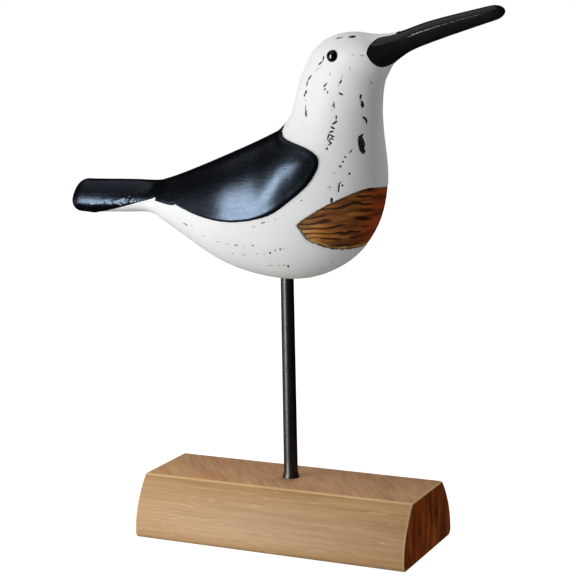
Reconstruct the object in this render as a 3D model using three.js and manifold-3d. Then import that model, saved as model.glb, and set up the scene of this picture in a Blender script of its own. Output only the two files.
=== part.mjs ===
// A carved wooden shore bird on a slim rod and a bevelled wooden block.
// Millimetres, +Z up. The bird looks along +X and its left side is +Y. The origin is on the
// block's underside, below the rod.
import * as THREE from 'three';
import { mergeVertices } from 'three/addons/utils/BufferGeometryUtils.js';
import Module from 'manifold-3d';

// Wooden block
const blockLength = 165;
const blockHeight = 35;
const blockShift = 0.5; // the block's middle lies this far in front of the rod
const topHalfWidth = 23.6;
const bottomHalfWidth = 37;
const sideBulge = 39.2; // half-width that the bulging side curve is pulled towards
const bottomRounding = 3.4;
const topEasing = 0.8;
const endEasing = 0.8;

// Painted rod
const rodFootRadius = 4;
const rodTopRadius = 3.65;
const rodCollarRadius = 4.9;
const rodCollarHeight = 2.6;
const rodDepthInBlock = 20;
const rodDepthInBird = 22;
const fitGap = 0.3;
const roundSides = 32;

// Bird: its cross-sections from tail to bill. Each one lies on a line from the upper outline to
// the lower outline, both given as [x, z] in the bird's plane of symmetry. The lines fan round
// the hollow of the nape and then round the throat, so they never cross.
const birdSections = [
  { at: 'tail end', upper: [-125.5, 202.5], lower: [-131, 183], halfWidth: 12.5 },
  { at: 'tail', upper: [-95, 203], lower: [-98, 184], halfWidth: 12 },
  { at: 'tail root', upper: [-79.5, 203], lower: [-83, 184], halfWidth: 14 },
  { at: 'rump', upper: [-68.5, 205.5], lower: [-67, 175.5], halfWidth: 19 },
  { at: 'back', upper: [-32, 219.5], lower: [-33.5, 156.5], halfWidth: 30 },
  { at: 'wings', upper: [-16.5, 226], lower: [-3.5, 150], halfWidth: 32 },
  { at: 'belly', upper: [-6.5, 230.5], lower: [18, 151.5], halfWidth: 31.5 },
  { at: 'shoulders', upper: [0.5, 234], lower: [40, 162.5], halfWidth: 29.5 },
  { at: 'breast', upper: [5.5, 240.5], lower: [54, 180], halfWidth: 26.5 },
  { at: 'breast top', upper: [8, 248], lower: [60, 203], halfWidth: 22.5 },
  { at: 'neck', upper: [11.5, 261.5], lower: [57.5, 240], halfWidth: 17.5 },
  { at: 'throat', upper: [20, 276.5], lower: [59, 258], halfWidth: 16.5 },
  { at: 'head', upper: [30.5, 283.5], lower: [61, 262.5], halfWidth: 16 },
  { at: 'crown', upper: [42.5, 285.5], lower: [64, 267.5], halfWidth: 14 },
  { at: 'brow', upper: [55.5, 284], lower: [68, 270.5], halfWidth: 10.5 },
  { at: 'bill root', upper: [67, 285], lower: [74.5, 274.5], halfWidth: 7.5 },
  { at: 'bill', upper: [84.5, 290.5], lower: [89.5, 280], halfWidth: 6 },
  { at: 'bill end', upper: [118.5, 298], lower: [120, 289.5], halfWidth: 4.5 },
];
const tailRounding = 8; // length of the rounded end behind the last tail section
const billRounding = 7.5;
const tailSquareness = 2.4; // section exponent at the tail: 2 is an ellipse, more is boxier
const squarenessReach = 4; // sections over which the tail's squareness fades to an ellipse
const ringsPerSection = 4;
const capRings = 6;
const pointsAround = 48;

// Raised wings: their lower and front edge in side view, from the nape round the shoulder and
// back to the tip over the tail. Everything above it swells out from the body.
const wingEdge = [
  [4.5, 233], [19, 226.5], [29, 221.8], [31.5, 215], [26, 204.5], [7, 190],
  [-17, 184.5], [-43, 187.3], [-60, 190.8], [-76, 193],
];
const wingRise = 1.3;
const wingRoll = 5; // width over which the swelling rounds down to the body
const wingCrestFade = 0.55; // share of the half-width over which it dies out at the back's crest

// Bead eyes
const eyePlace = [36, 273]; // x and z of the middle of each eye
const eyeRadius = 3.3;
const eyeProud = 1.9;
const beadSides = 18;

const wasm = await Module();
wasm.setup();

function solidFrom(geometry) {
  const bare = new THREE.BufferGeometry();
  bare.setAttribute('position', geometry.getAttribute('position'));
  bare.setIndex(geometry.getIndex());
  const merged = mergeVertices(bare, 1e-4);
  const vertProperties = merged.attributes.position.array;
  const triVerts = new Uint32Array(merged.index.array);
  return new wasm.Manifold(new wasm.Mesh({ numProp: 3, vertProperties, triVerts }));
}

function geometryFrom(solid) {
  const { vertProperties, triVerts } = solid.getMesh();
  const geometry = new THREE.BufferGeometry();
  geometry.setAttribute('position', new THREE.BufferAttribute(vertProperties, 3));
  geometry.setIndex(new THREE.BufferAttribute(triVerts, 1));
  geometry.computeVertexNormals();
  return geometry;
}

function uprightCylinder(radius, bottom, top) {
  const geometry = new THREE.CylinderGeometry(radius, radius, top - bottom, roundSides);
  geometry.rotateX(Math.PI / 2);
  geometry.translate(0, 0, (top + bottom) / 2);
  return solidFrom(geometry);
}

// The wing edge as a closed outline in side view: the edge itself, then round above the back.
const edgeCurve = new THREE.SplineCurve(wingEdge.map(([x, z]) => new THREE.Vector2(x, z)));
const edgePoints = edgeCurve.getPoints(60);
const overTheBack = 400;
const wingOutline = [
  ...edgePoints,
  new THREE.Vector2(wingEdge.at(-1)[0], overTheBack),
  new THREE.Vector2(wingEdge[0][0], overTheBack),
];

function isInsideWing(x, z) {
  let inside = false;
  wingOutline.forEach((a, i) => {
    const b = wingOutline[(i + 1) % wingOutline.length];
    const crosses = a.y > z !== b.y > z;
    if (crosses && x < a.x + ((b.x - a.x) * (z - a.y)) / (b.y - a.y)) inside = !inside;
  });
  return inside;
}

function distanceToWingEdge(x, z) {
  const point = new THREE.Vector3(x, z, 0);
  const nearest = new THREE.Vector3();
  const stretch = new THREE.Line3();
  let least = Infinity;
  for (let i = 1; i < edgePoints.length; i++) {
    stretch.start.set(edgePoints[i - 1].x, edgePoints[i - 1].y, 0);
    stretch.end.set(edgePoints[i].x, edgePoints[i].y, 0);
    stretch.closestPointToPoint(point, true, nearest);
    least = Math.min(least, nearest.distanceTo(point));
  }
  return least;
}

// How far the wing stands out at a point of the body, seen from the side at x and z, where
// sideways is 0 on the crest of the back and 1 at the section's full half-width.
function wingSwelling(x, z, sideways) {
  if (!isInsideWing(x, z)) return 0;
  const roll = THREE.MathUtils.smoothstep(distanceToWingEdge(x, z), 0, wingRoll);
  const crest = THREE.MathUtils.smoothstep(sideways, 0, wingCrestFade);
  return wingRise * roll * crest;
}

// One cross-section: a superellipse whose tall axis joins the two outlines.
function sectionRing(upper, lower, halfWidth, squareness) {
  const middle = upper.clone().add(lower).multiplyScalar(0.5);
  const reach = upper.clone().sub(middle);
  const power = 2 / squareness;
  const bulge = (value) => Math.sign(value) * Math.abs(value) ** power;
  return Array.from({ length: pointsAround }, (_, k) => {
    const angle = (2 * Math.PI * k) / pointsAround;
    const sideways = bulge(Math.cos(angle));
    const upwards = bulge(Math.sin(angle));
    const x = middle.x + reach.x * upwards;
    const z = middle.y + reach.y * upwards;
    const out = new THREE.Vector3(x - middle.x, halfWidth * sideways, z - middle.y);
    const swelling = wingSwelling(x, z, Math.abs(sideways));
    if (swelling > 0) out.setLength(out.length() + swelling);
    return new THREE.Vector3(middle.x + out.x, out.y, middle.y + out.z);
  });
}

// The rings that round off one end of the bird, from its last section to the tip.
function endRings(section, neighbour, length) {
  const middle = section.upper.clone().add(section.lower).multiplyScalar(0.5);
  const across = section.upper.clone().sub(section.lower).normalize();
  const outward = new THREE.Vector2(across.y, -across.x);
  const inward = neighbour.upper.clone().add(neighbour.lower).multiplyScalar(0.5).sub(middle);
  if (outward.dot(inward) > 0) outward.negate();
  const rings = [];
  for (let k = 1; k < capRings; k++) {
    const angle = (Math.PI / 2) * (k / capRings);
    const centre = middle.clone().addScaledVector(outward, length * Math.sin(angle));
    const shrunk = (point) => point.clone().sub(middle).multiplyScalar(Math.cos(angle)).add(centre);
    const halfWidth = section.halfWidth * Math.cos(angle);
    rings.push(sectionRing(shrunk(section.upper), shrunk(section.lower), halfWidth, section.squareness));
  }
  const tip = middle.clone().addScaledVector(outward, length);
  return { rings, tip: new THREE.Vector3(tip.x, 0, tip.y) };
}

// The closed skin of the bird. A positive growth makes it larger all over, for cutting a
// neighbour with a gap.
function birdGeometry(growth = 0) {
  const curveOf = (side) =>
    new THREE.CatmullRomCurve3(birdSections.map((s) => new THREE.Vector3(s[side][0], 0, s[side][1])));
  const upperCurve = curveOf('upper');
  const lowerCurve = curveOf('lower');
  const widths = new THREE.SplineCurve(birdSections.map((s, i) => new THREE.Vector2(i, s.halfWidth)));
  const steps = (birdSections.length - 1) * ringsPerSection;
  const sections = Array.from({ length: steps + 1 }, (_, i) => {
    const t = i / steps;
    const high = upperCurve.getPoint(t);
    const low = lowerCurve.getPoint(t);
    const upper = new THREE.Vector2(high.x, high.z);
    const lower = new THREE.Vector2(low.x, low.z);
    const across = upper.clone().sub(lower).setLength(growth);
    const fade = THREE.MathUtils.smoothstep(i / ringsPerSection, 0, squarenessReach);
    return {
      upper: upper.add(across),
      lower: lower.sub(across),
      halfWidth: widths.getPoint(t).y + growth,
      squareness: THREE.MathUtils.lerp(tailSquareness, 2, fade),
    };
  });
  const tail = endRings(sections[0], sections[1], tailRounding + growth);
  const bill = endRings(sections.at(-1), sections.at(-2), billRounding + growth);
  const rings = [
    ...tail.rings.reverse(),
    ...sections.map((s) => sectionRing(s.upper, s.lower, s.halfWidth, s.squareness)),
    ...bill.rings,
  ];
  const vertices = [tail.tip, ...rings.flat(), bill.tip];
  const billTip = vertices.length - 1;
  const at = (ring, k) => 1 + ring * pointsAround + (k % pointsAround);
  const faces = [];
  for (let k = 0; k < pointsAround; k++) {
    faces.push(0, at(0, k + 1), at(0, k));
    for (let ring = 1; ring < rings.length; ring++) {
      faces.push(at(ring - 1, k), at(ring, k + 1), at(ring, k));
      faces.push(at(ring - 1, k), at(ring - 1, k + 1), at(ring, k + 1));
    }
    faces.push(billTip, at(rings.length - 1, k), at(rings.length - 1, k + 1));
  }
  return new THREE.BufferGeometry().setFromPoints(vertices).setIndex(faces);
}

// Where a ray from the side meets the bird's skin, with the skin's direction there.
function skinPoint(x, z, side) {
  const probe = new THREE.Mesh(birdGeometry());
  const from = new THREE.Vector3(x, side * overTheBack, z);
  const [hit] = new THREE.Raycaster(from, new THREE.Vector3(0, -side, 0)).intersectObject(probe);
  return { point: hit.point, normal: hit.face.normal };
}

function rodSpan() {
  const belly = new THREE.Mesh(birdGeometry());
  const up = new THREE.Raycaster(new THREE.Vector3(0, 0, blockHeight), new THREE.Vector3(0, 0, 1));
  const [hit] = up.intersectObject(belly);
  return { foot: blockHeight - rodDepthInBlock, top: hit.point.z + rodDepthInBird };
}

function makeBird(rod) {
  const hole = uprightCylinder(rodTopRadius + fitGap, 100, rod.top);
  return geometryFrom(solidFrom(birdGeometry()).subtract(hole));
}

// A flattened bead whose back follows the head with a hair's gap.
function makeEye(side) {
  const { point, normal } = skinPoint(...eyePlace, side);
  const bead = new THREE.SphereGeometry(1, beadSides, beadSides / 2);
  bead.scale(eyeRadius, eyeRadius, eyeProud);
  bead.applyQuaternion(new THREE.Quaternion().setFromUnitVectors(new THREE.Vector3(0, 0, 1), normal));
  bead.translate(point.x, point.y, point.z);
  return geometryFrom(solidFrom(bead).subtract(solidFrom(birdGeometry(fitGap))));
}

// A round rod, slightly thinner at the top, with a raised ring of paint where it leaves the block.
function makeRod(rod) {
  const collarBottom = blockHeight + fitGap;
  const collar = new THREE.EllipseCurve(
    rodFootRadius, collarBottom + 0.6, rodCollarRadius - rodFootRadius, rodCollarHeight - 0.6, 0, Math.PI / 2,
  );
  const profile = [
    new THREE.Vector2(0, rod.foot + fitGap),
    new THREE.Vector2(rodFootRadius - 0.5, rod.foot + fitGap),
    new THREE.Vector2(rodFootRadius, rod.foot + fitGap + 0.5),
    new THREE.Vector2(rodFootRadius, collarBottom),
    new THREE.Vector2(rodCollarRadius - 0.3, collarBottom),
    ...collar.getPoints(5),
    new THREE.Vector2(rodTopRadius, rod.top - fitGap),
    new THREE.Vector2(0, rod.top - fitGap),
  ];
  const geometry = new THREE.LatheGeometry(profile, roundSides);
  geometry.rotateX(Math.PI / 2);
  return geometryFrom(solidFrom(geometry));
}

// Half-width of the block's section at a share of the way down: a quadratic curve from the top
// edge to the bottom, rounded under at the foot.
function blockHalfWidth(down) {
  const up = 1 - down;
  const side = up * up * topHalfWidth + 2 * up * down * sideBulge + down * down * bottomHalfWidth;
  const under = Math.max(0, 1 - (up * blockHeight) / bottomRounding);
  return side - bottomRounding * (1 - Math.sqrt(1 - under * under));
}

function makeBlock(rod) {
  const right = [new THREE.Vector2(topHalfWidth - topEasing, blockHeight)];
  const steps = 14;
  for (let i = 0; i <= steps; i++) {
    const z = blockHeight - topEasing - (blockHeight - topEasing - bottomRounding) * (i / steps);
    right.push(new THREE.Vector2(blockHalfWidth(1 - z / blockHeight), z));
  }
  const turns = 5;
  for (let i = 1; i <= turns; i++) {
    const z = bottomRounding * (1 - Math.sin((Math.PI / 2) * (i / turns)));
    right.push(new THREE.Vector2(blockHalfWidth(1 - z / blockHeight), z));
  }
  const left = right.map((p) => new THREE.Vector2(-p.x, p.y)).reverse();
  const geometry = new THREE.ExtrudeGeometry(new THREE.Shape([...right, ...left]), {
    depth: blockLength - 2 * endEasing,
    bevelThickness: endEasing,
    bevelSize: endEasing,
    bevelOffset: -endEasing,
    bevelSegments: 2,
  });
  geometry.translate(0, 0, endEasing - blockLength / 2);
  geometry.rotateX(Math.PI / 2);
  geometry.rotateZ(Math.PI / 2);
  geometry.translate(blockShift, 0, 0);
  const hole = uprightCylinder(rodFootRadius + fitGap, rod.foot, blockHeight + 10);
  return geometryFrom(solidFrom(geometry).subtract(hole));
}

function named(name, geometry, color, roughness) {
  const mesh = new THREE.Mesh(geometry, new THREE.MeshStandardMaterial({ color, roughness, metalness: 0 }));
  mesh.name = name;
  return mesh;
}

const rod = rodSpan();
const group = new THREE.Group();
group.add(
  named('bird', makeBird(rod), 0xe4e3e1, 0.6),
  named('right_eye', makeEye(-1), 0x0b0b0c, 0.12),
  named('left_eye', makeEye(1), 0x0b0b0c, 0.12),
  named('stand_rod', makeRod(rod), 0x17181b, 0.4),
  named('base_block', makeBlock(rod), 0xc08a50, 0.7),
);

export default group;
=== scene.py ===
from math import cos, radians, sin

import bpy
import numpy as np
from mathutils import Matrix, Vector, noise


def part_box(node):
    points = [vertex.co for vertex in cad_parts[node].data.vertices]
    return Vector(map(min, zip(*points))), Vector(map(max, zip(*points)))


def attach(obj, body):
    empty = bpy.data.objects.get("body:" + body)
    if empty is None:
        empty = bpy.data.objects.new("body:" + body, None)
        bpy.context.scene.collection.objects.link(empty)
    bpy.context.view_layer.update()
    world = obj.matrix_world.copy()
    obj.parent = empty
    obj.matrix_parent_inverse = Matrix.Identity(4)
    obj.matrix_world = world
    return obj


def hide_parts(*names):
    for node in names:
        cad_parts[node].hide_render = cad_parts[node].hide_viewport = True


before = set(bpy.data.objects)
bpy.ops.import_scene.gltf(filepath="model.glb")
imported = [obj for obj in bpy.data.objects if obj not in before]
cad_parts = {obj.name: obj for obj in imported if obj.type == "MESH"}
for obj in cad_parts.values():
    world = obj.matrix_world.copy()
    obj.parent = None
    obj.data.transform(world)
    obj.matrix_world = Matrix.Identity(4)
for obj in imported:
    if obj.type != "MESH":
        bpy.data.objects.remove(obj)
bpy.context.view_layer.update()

# A carved and painted shore bird on a black rod in an oak block. The bird looks along +X, its
# right side faces -Y, and the block stands on z = 0. Places and sizes are in millimetres and
# become metres as they reach Blender.
MM = 0.001

# Camera, at the photograph's viewing angle
camera_azimuth = 25.32
camera_elevation = 9.48
camera_roll = -1.10
camera_distance = 916.65
camera_aim = (0.39, -0.04, 144.14)
camera_lens = 102.4
sensor_width = 36

# The bird's surface
weld = 0.02  # vertices closer than this are one
hole_angle = 50  # edges sharper than this are kept crisp
smoothing = 1  # rounds of subdivision all over
rim_cuts = 3  # further cuts across each face near the wing's rim
patch_cuts = 3
chip_reach = (2, 0.9, 0.5)  # faces this near a worn place are halved, round after round

# The wing's lower edge, seen from the bird's right side, from the nape round to the tail
wing_edge = [
    (4.9, 232.6), (9, 229.4), (19.1, 226.3), (25.2, 224.1), (29.9, 221), (31.4, 218), (30.8, 213.2),
    (26, 205), (16.8, 196.8), (6, 189.4), (-5.2, 186), (-17, 184.5), (-29.4, 185), (-42.8, 187.3),
    (-54.2, 190.8), (-57.5, 191.9), (-61, 191.2), (-74.8, 192.6),
]
tail_edge = [(-74.3, 194.4), (-78, 193.3), (-89.8, 190.3), (-100.8, 187.5), (-113.2, 184.6), (-119, 183.5)]
nape_crossing = [(4.2, 236), (4, 248)]  # where the black crosses the back
around_tail = [(-124, 174), (-150, 176), (-150, 260)]
wing_start = -66  # the tail's part of the edge lies behind this

# The bill's root, seen from the side: the black begins in front of this U
bill_edge = [
    (67.7, 283.9), (65.5, 283.3), (60.7, 282.6), (58.8, 281.7), (56.7, 279.4), (55.5, 276.6),
    (55.1, 274), (55.9, 271.7), (57.5, 269.1), (59.9, 266.9), (62.6, 266.9), (66.1, 269.2),
]
bill_above = (70, 290)
bill_below = (71, 264)
bill_front = 140

# Relief along the wing's rim
rim_height = 1.3
rim_width = 2.2  # over which the edge rolls up to its crest
shoulder = (-8, 12)  # along x, from here on the rim rolls over more gently
shoulder_width = 5
cushion_height = 2.2  # the wing's front also swells like a cushion
cushion_width = 16
swelling_width = 5  # the softer roll that the solid already has
crest_fade = 14  # the rim dies out this near to the crest of the back
tail_rim_height = 0.55
tail_root = (-84, -66)
tail_side = (187, 204)  # the heights between which the tail's sides lean in
tail_lean = 0.45

# The grooved patch: its upper and lower borders by the angle round the breast, where 90 is the
# middle of the front
patch_centre = 10  # x of the upright line that the angle turns about
patch_upper = [
    (19.1, 184), (24, 186.2), (29.2, 188.2), (37.4, 191.4), (47, 194.9), (57, 198.3),
    (66.9, 201.5), (74.5, 203), (82.2, 203), (90, 202.6), (110, 202.6),
]
patch_lower = [
    (19.1, 182.9), (20.5, 181.8), (22.4, 180.4), (26, 177.4), (31.3, 174.6), (41.9, 172.2), (53.8, 170),
    (68.5, 169.1), (81, 169.7), (90, 170.3), (110, 170.3),
]
patch_recess = 0.75
patch_wall = 0.9  # width of the recess's wall
groove_depth = 0.95
groove_spacing = (2.6, 3.9)  # at the tip and further on
groove_axis = (183.6, 186.5)  # the height the grooves fan out from, at the tip and at the front
groove_fade = (36, 46)  # way along the patch over which the grooves run out

# Hammered marks on the tail's edge
hammer_size = 2.4
hammer_depth = 0.32
hammer_reach = 7
hammer_front = -84

# Worn places where the dark ground shows through the white. Each is an oval by its place along
# the bird, its height, its length, its width and its tilt in degrees.
bold_chips = [
    (38, 282.4, 4.2, 0.8, 13), (45.4, 282.9, 4, 1.3, 7),
    (30.5, 271.7, 3, 0.8, 77), (28.8, 269.1, 3.6, 1, 35), (21.7, 261.3, 4.4, 0.8, 48), (20.2, 258.5, 3.4, 0.9, 82),
    (20.1, 253.9, 2.3, 1.4, 98), (19, 252.4, 2, 1.2, 96), (21.3, 242.8, 4, 1.1, 102), (20.8, 245.6, 4, 0.5, 100),
    (32.4, 257.9, 3.2, 0.9, 40), (32.3, 255.6, 1, 0.9, 0), (34.1, 254, 1.4, 0.8, 90),
    (41.2, 259.5, 2.8, 1, 62), (41.2, 253.2, 2.6, 1, -25),
    (50.9, 251.5, 2.8, 1.2, 89), (51.2, 249, 1.4, 0.7, -10), (51.6, 247.1, 3.2, 1.5, 90),
    (37.8, 247.3, 4.2, 0.7, 96), (37, 247, 1.6, 0.5, 60),
    (39.3, 241, 1.8, 1.1, 94), (39.1, 239.6, 1.7, 0.5, 93), (38.6, 238, 3, 1.2, 43), (37.7, 235.4, 3, 1.1, -33),
    (37, 233.3, 3.2, 1, 17),
    (37.1, 231.3, 3.8, 0.9, -20), (35.5, 230.3, 3.2, 0.8, 85), (37.1, 229.7, 3.4, 0.8, 42),
    (37.9, 229.5, 2.4, 0.8, -27), (36.8, 227.8, 2.8, 0.9, -35), (36.9, 226.8, 2.3, 0.8, 27), (35.4, 224.7, 1.3, 1, 100),
    (52.3, 240.2, 2.2, 1, -29), (53.2, 238.4, 3.8, 0.8, 100),
    (51.3, 230.4, 3.8, 1.3, 60), (51.6, 226.4, 9.4, 2.4, 100), (52.3, 223.8, 5.4, 1.9, 102), (52.4, 227.4, 6.6, 1.1, 103),
    (47.2, 222.9, 2.6, 0.8, 44), (44.8, 219.9, 1.2, 1.1, 0), (43.8, 217.6, 1.1, 0.9, 60), (42.6, 215.1, 1.4, 1.1, 91),
    (47.1, 211.3, 1.3, 1, 100), (42.6, 206.3, 2.2, 0.6, 35), (42.1, 203.7, 5, 1, 87), (43.9, 205.1, 1.2, 1.1, 0),
    (37.6, 204.4, 1, 0.9, 0), (38.5, 197.3, 3, 1.6, 96), (37.1, 194.6, 3.1, 1, 18), (33.4, 192.6, 3.2, 0.9, 33),
    (23.6, 197.1, 2.3, 0.9, 8), (1.3, 184.7, 2.6, 0.6, 14), (-18.7, 179.4, 1.1, 0.8, 17), (-51.3, 180.9, 3.8, 0.8, -17),
    (-17, 171.3, 2.5, 0.8, 5), (-6.8, 171.6, 1.2, 1, 48), (2.6, 167.8, 1.4, 1, 53), (6, 169.4, 1.9, 0.5, 60),
    (8.9, 170, 1.4, 1.1, 57), (10.3, 159.9, 1.8, 1.1, 52),
]
faint_chips = [
    (48.2, 273.5, 2, 0.6, 9), (53, 273.2, 3, 0.7, -9), (27.1, 266, 4.8, 0.5, 32), (20.3, 249.8, 1.5, 0.7, 99),
    (35.2, 263.5, 2.4, 0.6, 89), (46.3, 266.4, 1.8, 0.8, 87), (42, 261.8, 2.8, 0.6, 52), (40.2, 257.6, 1.6, 0.6, 78),
    (55.6, 258.7, 1.8, 0.8, 83), (36.8, 244.7, 1.2, 0.6, 93), (34.4, 226.4, 0.8, 0.6, 0), (39.9, 211.7, 1.4, 0.7, 95),
    (36.2, 203.5, 0.8, 0.6, -8), (-4.4, 182.5, 2.9, 0.6, 7), (4.3, 185.5, 1.8, 0.5, 9), (8.3, 186.8, 1.1, 0.7, 22),
    (13.9, 189.7, 1.1, 1, 0), (-45.9, 180.5, 1.2, 0.8, 19), (-38.4, 175.3, 1.7, 1, 26), (-28.9, 172.7, 2.8, 0.7, -3),
    (-22.8, 171.9, 3.2, 0.7, -5), (-12.4, 171.2, 1.1, 0.8, 28), (-21, 166.1, 1.5, 1, 27), (-13.6, 165.8, 4, 0.6, 5),
    (-5.5, 166.9, 1.3, 0.8, 25), (-0.9, 167.1, 1.1, 0.8, 36), (11.1, 170.6, 1, 0.8, 55), (0.5, 160.1, 4, 0.6, 4),
    (4.9, 160.1, 1.8, 0.6, 6), (8.2, 160.6, 2.5, 0.7, 9), (32.9, 162.4, 1.3, 0.7, 59), (26.6, 158.8, 1.5, 0.6, 54),
]
faintness = 0.45
chip_depth = 0.16  # the paint's thickness
chip_fray = 0.35  # how far the edge of a worn place wanders
left_side_shift = (-3.5, 4.5)  # the left side's marks are another set of the same kind
left_side_turn = 4

# Eye beads
eye_place = (36, 273)
eye_radius = 3.3
eye_flatness = 0.8

# Rod
rod_foot_radius = 4
rod_top_radius = 3.65
collar_radius = 4.9
collar_height = 2.6

# Block
block_height = 35

# Oak
grain_warp = 1.6

# Light: each soft light has its azimuth, elevation and distance from the bird, its width and
# height, and its power
light_centre = (0, 0, 170)
ambient_above = 0.21
ambient_below = 0.43


def metres(values):
    """Millimetres to metres."""
    return Vector(values) * MM


def tone(red, green, blue):
    """A colour given as a screen shows it, 0 to 255, as the linear colour that a shader takes."""
    def linear(value):
        share = value / 255
        return share / 12.92 if share <= 0.04045 else ((share + 0.055) / 1.055) ** 2.4
    return (linear(red), linear(green), linear(blue), 1)


# Working on meshes

def pick_only(piece):
    bpy.ops.object.select_all(action="DESELECT")
    piece.select_set(True)
    bpy.context.view_layer.objects.active = piece


def edit(piece):
    """Opens a piece for editing, with nothing on it selected."""
    pick_only(piece)
    bpy.ops.object.mode_set(mode="EDIT")
    bpy.ops.mesh.select_mode(type="VERT")
    bpy.ops.mesh.select_all(action="DESELECT")
    bpy.ops.object.mode_set(mode="OBJECT")


def select_faces(piece, chosen):
    """Opens a piece for editing, with the chosen faces selected."""
    edit(piece)
    piece.data.polygons.foreach_set("select", np.asarray(chosen, bool))
    bpy.ops.object.mode_set(mode="EDIT")
    bpy.ops.mesh.select_mode(type="FACE")


def vertex_places(piece):
    """The piece's vertices in millimetres."""
    flat = np.empty(len(piece.data.vertices) * 3, np.float32)
    piece.data.vertices.foreach_get("co", flat)
    return flat.reshape(-1, 3).astype(float) / MM


def vertex_normals(piece):
    flat = np.empty(len(piece.data.vertices) * 3, np.float32)
    piece.data.vertex_normals.foreach_get("vector", flat)
    return flat.reshape(-1, 3).astype(float)


def face_centres(piece):
    flat = np.empty(len(piece.data.polygons) * 3, np.float32)
    piece.data.polygons.foreach_get("center", flat)
    return flat.reshape(-1, 3).astype(float) / MM


def move_vertices(piece, places):
    piece.data.vertices.foreach_set("co", (places * MM).astype(np.float32).ravel())
    piece.data.update()


def note_on_vertices(piece, name, values):
    """Keeps one number for each vertex, which a material can read by its name."""
    attribute = piece.data.attributes.new(name, "FLOAT", "POINT")
    attribute.data.foreach_set("value", np.asarray(values, np.float32))


def copy_of_node(node, name):
    """A welded copy of a solid, in quads where they fit."""
    piece = bpy.data.objects.new(name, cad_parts[node].data.copy())
    bpy.context.scene.collection.objects.link(piece)
    piece.data.materials.clear()
    pick_only(piece)
    bpy.ops.mesh.customdata_custom_splitnormals_clear()
    bpy.ops.object.mode_set(mode="EDIT")
    bpy.ops.mesh.select_all(action="SELECT")
    bpy.ops.mesh.remove_doubles(threshold=weld * MM)
    bpy.ops.mesh.tris_convert_to_quads(face_threshold=radians(40), shape_threshold=radians(60))
    bpy.ops.object.mode_set(mode="OBJECT")
    return piece


def smooth_line(points, steps=6):
    """A smooth line through some points."""
    given = [np.array(point, float) for point in points]
    given = [2 * given[0] - given[1], *given, 2 * given[-1] - given[-2]]
    line = []
    for before, start, end, after in zip(given, given[1:], given[2:], given[3:]):
        for step in range(steps):
            t = step / steps
            line.append(0.5 * (
                2 * start + (end - before) * t + (2 * before - 5 * start + 4 * end - after) * t**2
                + (3 * start - before - 3 * end + after) * t**3
            ))
    return [*line, given[-2]]


def distance_inside(points, outline):
    """How far points lie inside a closed outline. It is negative outside."""
    corners = np.array(outline, float)
    nearest = np.full(len(points), np.inf)
    inside = np.zeros(len(points), bool)
    for start, end in zip(corners, np.roll(corners, -1, axis=0)):
        along = end - start
        share = np.clip((points - start) @ along / max(along @ along, 1e-12), 0, 1)
        nearest = np.minimum(nearest, np.hypot(*(points - start - share[:, None] * along).T))
        if start[1] != end[1]:
            crosses = (start[1] > points[:, 1]) != (end[1] > points[:, 1])
            reach = start[0] + along[0] * (points[:, 1] - start[1]) / along[1]
            inside ^= crosses & (points[:, 0] < reach)
    return np.where(inside, nearest, -nearest)


def ease(value, low, high):
    """0 below low, 1 above high, and a smooth rise between them."""
    share = np.clip((value - low) / (high - low), 0, 1)
    return share * share * (3 - 2 * share)


def rough(points, size):
    """Smooth random heights from -1 to 1 at some points, with bumps of about that size."""
    stretched = np.asarray(points, float) / size
    return np.array([noise.noise(Vector(point)) for point in stretched])


# Shader recipes

class Wire:
    """A number or colour on its way through a material. Arithmetic on it adds Math nodes."""

    def __init__(self, finish, socket):
        self.finish = finish
        self.socket = socket

    def math(self, operation, *others):
        settings = {"operation": operation}
        return self.finish.add("Math", settings, dict(enumerate([self, *others])))

    def __add__(self, other):
        return self.math("ADD", other)

    __radd__ = __add__

    def __sub__(self, other):
        return self.math("SUBTRACT", other)

    def __rsub__(self, other):
        return self.finish.add("Math", {"operation": "SUBTRACT"}, {0: other, 1: self})

    def __mul__(self, other):
        return self.math("MULTIPLY", other)

    __rmul__ = __mul__

    def __truediv__(self, other):
        return self.math("DIVIDE", other)

    def __pow__(self, other):
        return self.math("POWER", other)

    def __abs__(self):
        return self.math("ABSOLUTE")

    def least(self, other):
        return self.math("MINIMUM", other)

    def most(self, other):
        return self.math("MAXIMUM", other)

    def rise(self, low, high):
        """0 below low, 1 above high, and a smooth rise between them."""
        settings = {"interpolation_type": "SMOOTHSTEP"}
        return self.finish.add("MapRange", settings, {0: self, 1: low, 2: high, 3: 0.0, 4: 1.0})

    def vector(self, operation, other=None, output=0):
        inputs = {0: self} if other is None else {0: self, 1: other}
        return self.finish.add("VectorMath", {"operation": operation}, inputs, output)


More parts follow.
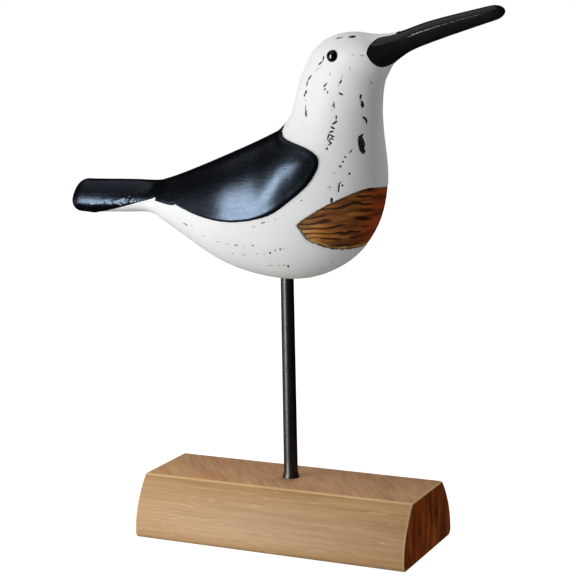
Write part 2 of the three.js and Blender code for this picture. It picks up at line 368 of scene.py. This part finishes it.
class Recipe:
    """A tree of shader nodes, built up by name."""

    def __init__(self, tree):
        self.tree = tree
        self.tree.nodes.clear()

    def add(self, kind, settings=None, inputs=None, output=0):
        """Adds a node, with its settings first and its sockets after, and gives one output."""
        node = self.tree.nodes.new("ShaderNode" + kind)
        for setting, value in (settings or {}).items():
            setattr(node, setting, value)
        for place, value in (inputs or {}).items():
            if isinstance(value, Wire):
                self.tree.links.new(value.socket, node.inputs[place])
            else:
                node.inputs[place].default_value = value
        return Wire(self, node.outputs[output])

    def place(self):
        """The place on the object, in millimetres."""
        spot = self.add("TexCoord", output="Object")
        return self.add("VectorMath", {"operation": "SCALE"}, {0: spot, "Scale": 1 / MM})

    def parts(self, vector):
        """A vector's three numbers."""
        first = self.add("SeparateXYZ", inputs={0: vector})
        node = first.socket.node
        return [Wire(self, output) for output in node.outputs]

    def vector(self, x, y, z):
        return self.add("CombineXYZ", inputs={0: x, 1: y, 2: z})

    def noted(self, name):
        """A number kept on the vertices."""
        return self.add("Attribute", {"attribute_name": name}, output="Fac")

    def grains(self, place, size, stretch=(1, 1, 1), detail=2.0, roughness=0.5):
        """Cloudy noise from 0 to 1, with lumps of a size that is stretched along the axes."""
        scaled = place.vector("DIVIDE", tuple(size * share for share in stretch))
        inputs = {"Vector": scaled, "Scale": 1.0, "Detail": detail, "Roughness": roughness}
        return self.add("TexNoise", None, inputs)

    def mixed(self, share, first, second, blend="MIX"):
        settings = {"data_type": "RGBA", "blend_type": blend}
        return self.add("Mix", settings, {0: share, 6: first, 7: second}, output=2)

    def shades(self, value, *stops):
        """Colours along a scale from 0 to 1. A stop is its place and its colour."""
        wire = self.add("ValToRGB", None, {0: value})
        ramp = wire.socket.node.color_ramp
        for place, colour in stops[2:]:
            ramp.elements.new(place)
        for element, (place, colour) in zip(ramp.elements, sorted(stops)):
            element.position = place
            element.color = colour
        return wire

    def bump(self, height, distance, strength=1.0):
        inputs = {"Height": height, "Distance": distance * MM, "Strength": strength}
        return self.add("Bump", None, inputs)

    def surface(self, **sockets):
        """A Principled shader. Underscores in the names of sockets stand for spaces."""
        return self.add("BsdfPrincipled", None, {name.replace("_", " "): value for name, value in sockets.items()})

    def add_output(self, shader, kind="Material"):
        node = self.tree.nodes.new("ShaderNodeOutput" + kind)
        self.tree.links.new(shader.socket, node.inputs["Surface"])


class Finish(Recipe):
    """A material and its nodes."""

    def __init__(self, name):
        self.material = bpy.data.materials.new(name)
        self.material.use_nodes = True
        super().__init__(self.material.node_tree)

    def finish_with(self, shader):
        self.add_output(shader)
        return self.material


# The bird's outlines

def black_outline():
    """Round the back, the wings and the tail's upper side, seen from the side."""
    return [
        nape_crossing[1], nape_crossing[0], *smooth_line(wing_edge), *smooth_line(tail_edge),
        *around_tail,
    ]


def bill_outline():
    return [bill_above, *smooth_line(bill_edge), bill_below, (bill_front, bill_below[1]), (bill_front, 320), (bill_above[0], 320)]


def along_patch(places):
    """The way round the breast from the patch's tip, in millimetres, by the angle and alike on both sides."""
    angle = np.degrees(np.arctan2(places[:, 0] - patch_centre, np.abs(places[:, 1])))
    return unrolled(angle)


def unrolled(angle):
    share = (angle - patch_upper[0][0]) / (90 - patch_upper[0][0])
    return 1.24 * (31 * share + 9.5 * share * np.abs(share))


def patch_outline():
    upper = [(unrolled(angle), height) for angle, height in patch_upper]
    lower = [(unrolled(angle), height) for angle, height in patch_lower]
    return [*smooth_line(upper), *reversed(smooth_line(lower))]


def bird_distances(places):
    """How far each place lies inside the black, the bill and the patch."""
    side_view = places[:, [0, 2]]
    round_view = np.column_stack([along_patch(places), places[:, 2]])
    black = distance_inside(side_view, black_outline())
    bill = distance_inside(side_view, bill_outline())
    patch = distance_inside(round_view, patch_outline())
    return black, bill, np.where(places[:, 0] > patch_centre, patch, -50)


def left_side_view(side_view):
    """Where a place of the left side falls among the chips."""
    turn = radians(left_side_turn)
    x = side_view[:, 0] * cos(turn) - (side_view[:, 1] - 230) * sin(turn)
    z = side_view[:, 0] * sin(turn) + (side_view[:, 1] - 230) * cos(turn) + 230
    return np.column_stack([x, z]) + left_side_shift


def distance_in_chips(side_view, chips):
    """How far each place lies inside the nearest worn place. It is negative outside."""
    deepest = np.full(len(side_view), -50.0)
    for x, z, length, width, tilt in chips:
        turn = radians(tilt)
        across, up = side_view[:, 0] - x, side_view[:, 1] - z
        along = (across * cos(turn) + up * sin(turn)) / (length / 2)
        aside = (up * cos(turn) - across * sin(turn)) / (width / 2)
        way = np.hypot(along, aside)
        deepest = np.maximum(deepest, (1 - way) * np.hypot(across, up) / np.maximum(way, 0.05))
    return deepest


def worn_distances(places):
    """How far each place lies inside the bold and the faint worn places."""
    side_view = places[:, [0, 2]]
    view = np.where(places[:, 1:2] > 0, left_side_view(side_view), side_view)
    shake = np.column_stack([rough(places, 1.6), rough(places + 57, 1.6)])
    view = view + chip_fray * shake
    return distance_in_chips(view, bold_chips), distance_in_chips(view, faint_chips)


# The bird's relief

def rim_relief(places, black):
    """A crisp rounded rim along the wing, softer at its front, and a smaller one along the tail."""
    front = ease(places[:, 0], *shoulder)
    width = rim_width + (shoulder_width - rim_width) * front
    roll = np.sqrt(1 - (1 - np.clip(black / width, 0, 1)) ** 2)
    soft = ease(black, 0, swelling_width)
    cushion = cushion_height * front * (1 - (1 - np.clip(black / cushion_width, 0, 1)) ** 2)
    fade = ease(np.abs(places[:, 1]), 0, crest_fade)
    wing = (rim_height * (roll - soft) + cushion) * fade
    tail = tail_rim_height * roll * (1 - ease(black, rim_width, 9)) * ease(np.abs(places[:, 1]), 1, 5)
    on_tail = 1 - ease(places[:, 0], wing_start - 10, wing_start)
    return np.where(black > 0, wing * (1 - on_tail) + tail * on_tail, 0)


def lean_tail(places):
    """The tail is domed: its sides lean in towards the top."""
    on_tail = 1 - ease(places[:, 0], *tail_root)
    places[:, 1] *= 1 - tail_lean * on_tail * ease(places[:, 2], *tail_side)


def hammer_relief(places, black):
    """Small dents along the lower edge of the tail."""
    reach = ease(black, 0, 1) * (1 - ease(black, hammer_reach * 0.5, hammer_reach))
    back = 1 - ease(places[:, 0], hammer_front - 10, hammer_front)
    near = (reach * back) > 0
    dents = np.zeros(len(places))
    dents[near] = rough(places[near], hammer_size) + 0.5 * rough(places[near] + 31, hammer_size / 2)
    return hammer_depth * dents * reach * back


def groove_pattern(places, along):
    """Wavy gouge marks that fan out from the patch's tip. It is 1 in the bottom of a groove."""
    height = places[:, 2]
    share = np.clip(along / 28, 0, 1)
    axis = groove_axis[0] + (groove_axis[1] - groove_axis[0]) * share
    spacing = groove_spacing[0] + (groove_spacing[1] - groove_spacing[0]) * share
    side = np.where(places[:, 1] < 0, 0, 40)
    flat = np.column_stack([along, height * 1.6, side])
    phase = (height - axis) / spacing + 0.5 * rough(flat, 13) + 0.2 * rough(flat + 17, 5)
    number = np.round(phase)
    off_centre = np.abs(phase - number)
    strength = rough(np.column_stack([along, number * 23, side]), 17)
    depth = 0.3 + 0.7 * ease(strength, -0.35, 0.05)
    return depth * (1 - ease(off_centre, 0.02, 0.3))


def patch_relief(places, patch, along):
    """A shallow carved recess with grooves, which run out towards the front."""
    inside = patch > -patch_wall
    grooves = np.zeros(len(places))
    grooves[inside] = groove_pattern(places[inside], along[inside])
    grooves *= ease(patch, -0.3, 1.2)
    run_out = 1 - ease(along, *groove_fade)
    recess = patch_recess * (0.3 + 0.7 * run_out) * ease(patch, -patch_wall / 2, patch_wall / 2)
    # The second value is the grooves' depth, which the material darkens as painted shade.
    return -recess - groove_depth * grooves * run_out, grooves * (0.35 + 0.65 * run_out)


def refine(piece, chosen, cuts):
    """Divides the chosen faces further."""
    select_faces(piece, chosen)
    bpy.ops.mesh.subdivide(number_cuts=cuts)
    bpy.ops.object.mode_set(mode="OBJECT")


def keep_hole_crisp(piece):
    """The rim of the rod's hole stays sharp as the rest is smoothed."""
    edit(piece)
    bpy.ops.object.mode_set(mode="EDIT")
    bpy.ops.mesh.select_mode(type="EDGE")
    bpy.ops.mesh.edges_select_sharp(sharpness=radians(hole_angle))
    bpy.ops.transform.edge_crease(value=1)
    bpy.ops.object.mode_set(mode="OBJECT")


def subdivided(piece, rounds):
    modifier = piece.modifiers.new("smoothing", "SUBSURF")
    modifier.levels = rounds
    modifier.render_levels = rounds
    pick_only(piece)
    bpy.ops.object.modifier_apply(modifier="smoothing")


def make_bird():
    piece = copy_of_node("bird", "painted_bird")
    keep_hole_crisp(piece)
    subdivided(piece, smoothing)
    refine_bird(piece)
    carve(piece)
    pick_only(piece)
    bpy.ops.object.shade_smooth()
    piece.data.materials.append(painted_bird_finish())
    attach(piece, "root")
    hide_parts("bird")
    return piece


def refine_bird(piece):
    """Gives the mesh enough faces along the rims, in the patch and at the worn places."""
    centres = face_centres(piece)
    black, bill, patch = bird_distances(centres)
    hammered = (black > -1) & (black < hammer_reach) & (centres[:, 0] < hammer_front)
    refine(piece, ((np.abs(black) < 3.5) | hammered | (np.abs(bill) < 1.5)) & (patch < -2), rim_cuts)
    black, bill, patch = bird_distances(face_centres(piece))
    refine(piece, patch > -1.5, patch_cuts)
    for reach in chip_reach:
        centres = face_centres(piece)
        black, bill, patch = bird_distances(centres)
        near = np.maximum(*worn_distances(centres)) > -reach
        refine(piece, near & (np.maximum(black, patch) < 0.5), 1)


def carve(piece):
    """Moves the vertices in and out by the relief, and notes where each finish is."""
    places = vertex_places(piece)
    lean_tail(places)
    move_vertices(piece, places)
    normals = vertex_normals(piece)
    black, bill, patch = bird_distances(places)
    along = along_patch(places)
    patch_lift, grooves = patch_relief(places, patch, along)
    lift = rim_relief(places, black) + hammer_relief(places, black) + patch_lift
    lift -= 0.25 * ease(bill, -0.2, 0.6)
    bold, faint = worn_distances(places)
    painted = np.maximum(np.maximum(black, bill), patch) < 0
    lift -= chip_depth * painted * (ease(bold, -0.12, 0.12) + 0.3 * ease(faint, -0.2, 0.3))
    in_hole = (np.hypot(places[:, 0], places[:, 1]) < 6) & (places[:, 2] < 176)
    lift[in_hole] = 0
    move_vertices(piece, places + normals * lift[:, None])
    note_on_vertices(piece, "black_edge", black)
    note_on_vertices(piece, "bill_edge", bill)
    note_on_vertices(piece, "patch_edge", patch)
    note_on_vertices(piece, "patch_along", along)
    note_on_vertices(piece, "groove", grooves)
    note_on_vertices(piece, "bold_chip", bold)
    note_on_vertices(piece, "faint_chip", faint)


# The bird's finish

def white_paint(finish, place):
    clouds = finish.grains(place, 22, detail=3.0)
    fine = finish.grains(place, 1.1, detail=3.0, roughness=0.6)
    white = finish.mixed(clouds.rise(0.35, 0.65), tone(239, 242, 241), tone(242, 243, 242))
    specks = finish.grains(place, 0.7, detail=1.0)
    bold = (finish.noted("bold_chip") + (specks - 0.5) * 0.3).rise(-0.1, 0.12)
    faint = finish.noted("faint_chip").rise(-0.3, 0.4) * faintness
    worn = (bold * (0.88 + 0.12 * specks.rise(0.3, 0.5))).most(faint)
    colour = finish.mixed(worn, white, tone(14, 13, 12))
    height = fine * 0.25 + finish.grains(place, 7, detail=1.0)
    return finish.surface(
        Base_Color=colour, Roughness=0.42 + 0.12 * fine + worn * 0.1,
        Normal=finish.bump(height, 0.12, 0.6), Specular_IOR_Level=0.15,
    )


def black_paint(finish, place):
    brushed = finish.grains(place, 1.2, (4, 2, 1), detail=3.0, roughness=0.65)
    broad = finish.grains(place, 9, detail=2.0)
    height = brushed + broad * 0.9
    return finish.surface(
        Base_Color=tone(7, 8, 10), Roughness=0.2 + 0.18 * brushed,
        Specular_Tint=tone(196, 222, 255), Normal=finish.bump(height, 0.14, 0.7),
    )


def bill_paint(finish, place):
    fine = finish.grains(place, 2.5, (3, 1, 1), detail=2.0)
    return finish.surface(
        Base_Color=tone(29, 28, 28), Roughness=0.07 + 0.07 * fine,
        Normal=finish.bump(fine, 0.08, 0.5),
    )


def patch_stain_and_shade(finish, place):
    # The patch's own stain and grain, with painted shade in its grooves and along its border.
    along = finish.noted("patch_along")
    groove = finish.noted("groove")
    edge = finish.noted("patch_edge")
    x, y, z = finish.parts(place)
    flow = finish.vector(along, y * 0.25, z)
    fibres = finish.grains(flow, 1.0, (9, 9, 0.7), detail=4.0, roughness=0.6)
    bands = finish.grains(flow, 3.2, (6, 6, 1), detail=2.0)
    gold = finish.mixed(fibres, tone(205, 136, 62), tone(242, 186, 104))
    brown = finish.mixed(fibres, tone(133, 74, 20), tone(200, 130, 58))
    red = finish.mixed(fibres, tone(165, 62, 4), tone(192, 86, 8))
    body = finish.mixed(along.rise(2, 18), gold, brown)
    body = finish.mixed((along + bands * 8).rise(34, 46), body, red)
    body = finish.mixed(bands.rise(0.38, 0.62) * 0.7, body, tone(84, 38, 7))
    # Painted highlight: a broken band of pale gold just inside the patch's lower border, where the recess's edge
    # catches light.
    painted_highlight_low_border = (1 - edge.rise(0.5, 2.6)) * (1 - z.rise(176, 184)) * bands.rise(0.4, 0.6)
    body = finish.mixed(painted_highlight_low_border * 0.7, body, tone(246, 200, 116))
    # Painted shade: the bottoms of the grooves and a band just inside the recess's border are darkened.
    painted_shade = groove.rise(0.15, 0.85).most(1 - edge.rise(0.1, 0.9))
    colour = finish.mixed(painted_shade * 0.9, body, tone(50, 19, 3))
    return finish.surface(
        Base_Color=colour, Roughness=0.42 + 0.15 * fibres,
        Normal=finish.bump(fibres, 0.25, 0.6), Specular_IOR_Level=0.2,
    )


def painted_bird_finish():
    finish = Finish("painted_bird")
    place = finish.place()
    wander = (finish.grains(place, 2.2, detail=1.0) - 0.5) * 0.35
    black = (finish.noted("black_edge") + wander).rise(-0.12, 0.12)
    bill = (finish.noted("bill_edge") + wander).rise(-0.12, 0.12)
    ragged = (finish.grains(place, 1.6, detail=2.0) - 0.5) * 1.1
    patch = (finish.noted("patch_edge") + ragged).rise(-0.15, 0.15)
    shader = white_paint(finish, place)
    shader = finish.add("MixShader", None, {0: patch, 1: shader, 2: patch_stain_and_shade(finish, place)})
    shader = finish.add("MixShader", None, {0: black, 1: shader, 2: black_paint(finish, place)})
    shader = finish.add("MixShader", None, {0: bill, 1: shader, 2: bill_paint(finish, place)})
    return finish.finish_with(shader)


# Eyes

def head_surface(bird, side):
    """A point of the head's side at the eye, and the way it faces."""
    start = metres((eye_place[0], side * 60, eye_place[1]))
    hit, point, normal, face = bird.ray_cast(start, Vector((0, -side, 0)))
    return point, normal


def eye_finish():
    finish = Finish("eye_bead")
    place = finish.place()
    fine = finish.grains(place, 1.5, detail=2.0)
    return finish.finish_with(finish.surface(
        Base_Color=finish.mixed(fine, tone(7, 7, 8), tone(12, 12, 13)), Roughness=0.06 + 0.06 * fine,
        Normal=finish.bump(fine, 0.02, 0.3),
    ))


def make_eye(bird, name, node, side, finish):
    """A glossy bead, a little flattened against the head, with a thin lip where it is let in."""
    point, normal = head_surface(bird, side)
    turn = normal.to_track_quat("Z", "Y").to_matrix().to_4x4()
    bpy.ops.mesh.primitive_uv_sphere_add(segments=48, ring_count=24, radius=eye_radius * MM)
    piece = bpy.context.object
    piece.name = name
    places = vertex_places(piece)
    places[:, 2] *= eye_flatness
    lip = 0.22 * np.exp(-((places[:, 2] / 0.35) ** 2))
    places[:, :2] *= (1 + lip / eye_radius)[:, None]
    move_vertices(piece, places)
    piece.data.transform(Matrix.Translation(point - normal * 0.5 * MM) @ turn)
    pick_only(piece)
    bpy.ops.object.shade_smooth()
    piece.data.materials.append(finish)
    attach(piece, "root")
    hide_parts(node)


def make_eyes(bird):
    finish = eye_finish()
    bpy.context.view_layer.update()
    make_eye(bird, "right_eye_bead", "right_eye", -1, finish)
    make_eye(bird, "left_eye_bead", "left_eye", 1, finish)


# Rod

def rod_profile():
    """Radius and height from the foot in the block to the top in the bird."""
    low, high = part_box("stand_rod")
    foot = low.z / MM
    top = high.z / MM
    return [
        (rod_foot_radius, foot), (rod_foot_radius, block_height - 0.4), (collar_radius, block_height + 0.05),
        (collar_radius - 0.1, block_height + 0.9), (rod_foot_radius + 0.35, block_height + 1.8),
        (rod_foot_radius, block_height + collar_height + 1), (rod_foot_radius - 0.05, block_height + 12),
        (0.5 * (rod_foot_radius + rod_top_radius), 0.5 * (block_height + 157)), (rod_top_radius, top),
    ]


def turned_piece(name, profile, sides=48):
    """A round bar, drawn up ring by ring from its foot."""
    radius, height = profile[0]
    bpy.ops.object.select_all(action="DESELECT")
    bpy.ops.mesh.primitive_circle_add(vertices=sides, radius=radius * MM, fill_type="NGON", location=(0, 0, height * MM))
    piece = bpy.context.object
    piece.name = name
    bpy.ops.object.transform_apply(location=True, rotation=True, scale=True)
    bpy.ops.object.mode_set(mode="EDIT")
    bpy.ops.mesh.select_all(action="SELECT")
    for next_radius, next_height in profile[1:]:
        step = {"value": (0, 0, (next_height - height) * MM)}
        bpy.ops.mesh.extrude_region_move(TRANSFORM_OT_translate=step)
        share = next_radius / radius
        bpy.ops.transform.resize(value=(share, share, 1))
        radius, height = next_radius, next_height
    bpy.ops.mesh.select_all(action="SELECT")
    bpy.ops.mesh.normals_make_consistent(inside=False)
    bpy.ops.object.mode_set(mode="OBJECT")
    return piece


def rod_finish():
    finish = Finish("black_rod")
    place = finish.place()
    runs = finish.grains(place, 1.6, (1, 1, 9), detail=3.0, roughness=0.6)
    fine = finish.grains(place, 0.8, detail=2.0)
    x, y, z = finish.parts(place)
    dust = (1 - z.rise(block_height, block_height + 9)) * fine * 0.5
    colour = finish.mixed(runs, tone(14, 14, 15), tone(24, 24, 25))
    colour = finish.mixed(dust, colour, tone(48, 42, 36))
    return finish.finish_with(finish.surface(
        Base_Color=colour, Roughness=0.3 + 0.14 * runs, Normal=finish.bump(runs + fine * 0.4, 0.1, 0.5),
    ))


def make_rod():
    piece = turned_piece("painted_rod", rod_profile())
    pick_only(piece)
    bpy.ops.object.shade_smooth_by_angle(angle=radians(40))
    piece.data.materials.append(rod_finish())
    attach(piece, "root")
    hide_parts("stand_rod")


# Block

def oak_grain(finish, place, lift=1.0):
    """Long streaks of wood, as a share from dark to light, with the fibres' height."""
    x, y, z = finish.parts(place)
    wave = (finish.grains(place, 38, (1.4, 1, 1), detail=2.0) - 0.5) * grain_warp * 2
    bent = finish.vector(x, y + wave, z + wave * 0.8)
    bands = finish.grains(bent, 5.5, (26, 1, 1), detail=3.0, roughness=0.55)
    streaks = finish.grains(bent, 1.1, (34, 1, 1), detail=4.0, roughness=0.62)
    fibres = finish.grains(bent, 0.42, (26, 1, 1), detail=3.0, roughness=0.6)
    return bands, streaks, fibres, bent


def oak_side_finish():
    finish = Finish("oak_side")
    place = finish.place()
    bands, streaks, fibres, bent = oak_grain(finish, place)
    body = finish.shades(
        bands * 0.45 + streaks * 0.55,
        (0.3, tone(166, 124, 80)), (0.5, tone(187, 146, 98)), (0.7, tone(202, 163, 115)),
    )
    body = finish.mixed(fibres.rise(0.45, 0.8) * 0.3, body, tone(150, 108, 68))
    lines = finish.grains(bent, 0.9, (18, 1, 1), detail=1.0)
    body = finish.mixed(lines.rise(0.68, 0.76) * 0.5, body, tone(240, 212, 170))
    return finish.finish_with(finish.surface(
        Base_Color=body, Roughness=0.5 + 0.12 * fibres, Specular_IOR_Level=0.3,
        Normal=finish.bump(fibres + streaks, 0.12, 0.5),
    ))


def oak_top_finish():
    finish = Finish("oak_top")
    place = finish.place()
    turned = finish.add("Mapping", {"vector_type": "POINT"}, {"Vector": place, "Rotation": (0, 0, radians(50))})
    x, y, z = finish.parts(turned)
    wave = (finish.grains(turned, 26, detail=2.0) - 0.5) * 9
    bent = finish.vector(x, y + wave, z)
    bands = finish.grains(bent, 7.0, (5, 1, 5), detail=3.0)
    streaks = finish.grains(bent, 1.9, (11, 1, 11), detail=4.0, roughness=0.6)
    fibres = finish.grains(place, 0.5, (14, 1, 14), detail=3.0, roughness=0.6)
    body = finish.shades(
        bands * 0.4 + streaks * 0.6,
        (0.32, tone(172, 124, 88)), (0.5, tone(193, 146, 105)), (0.68, tone(208, 166, 122)),
    )
    body = finish.mixed(fibres.rise(0.45, 0.8) * 0.25, body, tone(146, 100, 66))
    return finish.finish_with(finish.surface(
        Base_Color=body, Roughness=0.5 + 0.12 * fibres, Specular_IOR_Level=0.3,
        Normal=finish.bump(fibres + streaks, 0.12, 0.5),
    ))


def oak_end_finish():
    finish = Finish("oak_end")
    place = finish.place()
    x, y, z = finish.parts(place)
    wave = (finish.grains(place, 16, (1, 1, 1.6), detail=2.0) - 0.5) * 10
    bent = finish.vector(x, y + wave, z)
    bands = finish.grains(bent, 6.5, (1, 1, 4.5), detail=3.0, roughness=0.6)
    pores = finish.grains(place, 0.6, detail=2.0)
    body = finish.shades(
        bands, (0.35, tone(108, 44, 2)), (0.5, tone(146, 64, 4)), (0.66, tone(184, 92, 12)),
    )
    body = finish.mixed(pores.rise(0.55, 0.8) * 0.4, body, tone(70, 26, 2))
    return finish.finish_with(finish.surface(
        Base_Color=body, Roughness=0.55 + 0.15 * pores, Specular_IOR_Level=0.12,
        Normal=finish.bump(pores, 0.12, 0.5),
    ))


def arris_highlight_finish():
    finish = Finish("oak_arris_painted_highlight")
    place = finish.place()
    bands, streaks, fibres, bent = oak_grain(finish, place)
    # Painted highlight: the rounded edges are coloured a lighter gold, as where they catch light.
    body = finish.mixed(streaks, tone(206, 158, 100), tone(236, 202, 148))
    return finish.finish_with(finish.surface(
        Base_Color=body, Roughness=0.45 + 0.1 * fibres, Normal=finish.bump(fibres, 0.08, 0.4),
    ))


def make_block():
    piece = copy_of_node("base_block", "oak_block")
    for material in (oak_side_finish(), oak_top_finish(), oak_end_finish(), arris_highlight_finish()):
        piece.data.materials.append(material)
    normals = np.empty(len(piece.data.polygons) * 3, np.float32)
    piece.data.polygons.foreach_get("normal", normals)
    normals = normals.reshape(-1, 3)
    side, top, end, edge = 0, 1, 2, 3
    high = face_centres(piece)[:, 2] > block_height - 1
    kinds = np.full(len(normals), side)
    # Faces on the rounded top edges and towards the ends take the lighter arris finish, a painted highlight.
    kinds[(normals[:, 2] > 0.3) & high] = edge
    kinds[(np.abs(normals[:, 0]) > 0.2) & (normals[:, 2] > -0.3)] = edge
    kinds[normals[:, 2] > 0.95] = top
    kinds[np.abs(normals[:, 0]) > 0.95] = end
    piece.data.polygons.foreach_set("material_index", kinds)
    pick_only(piece)
    bpy.ops.object.shade_smooth_by_angle(angle=radians(35))
    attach(piece, "root")
    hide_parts("base_block")


# Floor, light and camera

def make_floor():
    bpy.ops.object.select_all(action="DESELECT")
    bpy.ops.mesh.primitive_plane_add(size=60)
    floor = bpy.context.object
    floor.name = "floor"
    floor.visible_glossy = False
    floor.visible_diffuse = False
    floor.visible_shadow = False
    finish = Finish("pale_floor")
    glow = finish.add("Emission", None, {0: tone(255, 255, 255), 1: 0.96})
    matte = finish.add("BsdfDiffuse", None, {0: tone(150, 150, 150)})
    finish.add_output(finish.add("AddShader", None, {0: glow, 1: matte}))
    floor.data.materials.append(finish.material)


def soft_light(name, azimuth, elevation, distance, width, height, power, colour=(1, 1, 1), seen_in="both"):
    """A rectangular soft light that faces the bird. Azimuth 0 is the bird's right side, and it grows towards the bill."""
    turn, rise = radians(azimuth), radians(elevation)
    way = Vector((sin(turn) * cos(rise), -cos(turn) * cos(rise), sin(rise)))
    lamp = bpy.data.lights.new(name, "AREA")
    lamp.shape = "RECTANGLE"
    lamp.size = width * MM
    lamp.size_y = height * MM
    lamp.energy = power
    lamp.color = colour
    light = bpy.data.objects.new(name, lamp)
    bpy.context.scene.collection.objects.link(light)
    light.location = metres(light_centre) + way * distance * MM
    light.rotation_euler = way.to_track_quat("Z", "Y").to_euler()
    light.visible_diffuse = seen_in != "gloss"
    light.visible_glossy = seen_in != "matte"
    light.visible_camera = False
    return light


def make_lights():
    soft_light("key_light", -40, 8, 1300, 800, 600, 14.8, seen_in="matte")
    soft_light("back_light", 175, 50, 1300, 1400, 1000, 10, seen_in="matte")
    soft_light("key_shine", -29, 6, 1300, 430, 1150, 34, seen_in="gloss")
    soft_light("left_shine", -75, -10, 1300, 260, 900, 1.2, seen_in="gloss")
    soft_light("top_shine", -60, 70, 1200, 1600, 900, 2.2, seen_in="gloss")


def make_world():
    """White behind the object, and a weak even light on it that is stronger from below."""
    world = bpy.data.worlds.new("studio")
    bpy.context.scene.world = world
    world.use_nodes = True
    studio = Recipe(world.node_tree)
    way = studio.add("TexCoord", output="Generated")
    x, y, z = studio.parts(way)
    strength = ambient_above + (ambient_below - ambient_above) * (1 - z.rise(-0.15, 0.15))
    lit = studio.add("Background", None, {"Strength": strength})
    seen = studio.add("Background", None, {"Color": tone(255, 255, 255)})
    to_camera = studio.add("LightPath", output="Is Camera Ray")
    both = studio.add("MixShader", None, {0: to_camera, 1: lit, 2: seen})
    studio.add_output(both, "World")
    world.cycles_visibility.glossy = False


def make_camera():
    turn, rise, roll = radians(camera_azimuth), radians(camera_elevation), radians(camera_roll)
    back = Vector((sin(turn) * cos(rise), -cos(turn) * cos(rise), sin(rise)))
    level = Vector((cos(turn), sin(turn), 0))
    upright = back.cross(level)
    right = level * cos(roll) + upright * sin(roll)
    up = upright * cos(roll) - level * sin(roll)
    lens = bpy.data.cameras.new("camera")
    lens.lens = camera_lens
    lens.sensor_width = sensor_width
    lens.clip_start = 0.05
    lens.clip_end = 100
    camera = bpy.data.objects.new("camera", lens)
    bpy.context.scene.collection.objects.link(camera)
    place = metres(camera_aim) + back * camera_distance * MM
    camera.matrix_world = Matrix.Translation(place) @ Matrix((right, up, back)).transposed().to_4x4()
    bpy.context.scene.camera = camera


bird = make_bird()
make_eyes(bird)
make_rod()
make_block()
make_floor()
make_lights()
make_world()
make_camera()
bpy.context.scene.view_settings.view_transform = "Standard"
